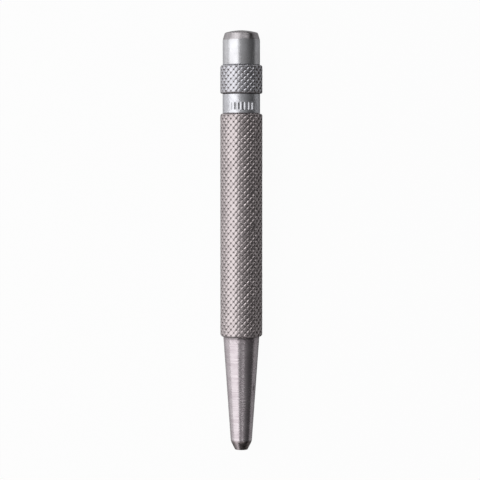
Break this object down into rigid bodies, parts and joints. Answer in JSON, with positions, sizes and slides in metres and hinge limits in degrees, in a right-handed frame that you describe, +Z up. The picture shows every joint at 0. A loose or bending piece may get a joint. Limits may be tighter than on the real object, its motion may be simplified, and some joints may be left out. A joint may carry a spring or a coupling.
{
  "type": "hollow punch",
  "caption": "Slim steel hollow punch with a crowned striking head, a knurled collar and grip, and a long tapered nose bored to a round cutting edge.",
  "frame": {"origin": "middle of the tool's length, on the bench below its axis, level with the knurl points that it lies on", "axes": "+Y along the tool's axis towards the striking head, +Z up from the bench, +X to the right seen from above with the head away"},
  "size_m": [0.0106, 0.105, 0.0105],
  "materials": {
    "turned_steel": "plated satin steel with fine turning rings and faint handling marks",
    "band_steel": "satin turned steel with a row of plain stamped strokes",
    "knurled_steel": "diamond knurled steel with dark grooves and bright points",
    "ground_steel": "turned steel taper with fine rings and a darker ground bevel at the edge"
  },
  "bodies": {
    "root": {"striking_head": "turned_steel", "knurled_collar": "knurled_steel", "size_band": "band_steel", "knurled_grip": "knurled_steel", "hollow_nose": "ground_steel"}
  },
  "joints": []
}
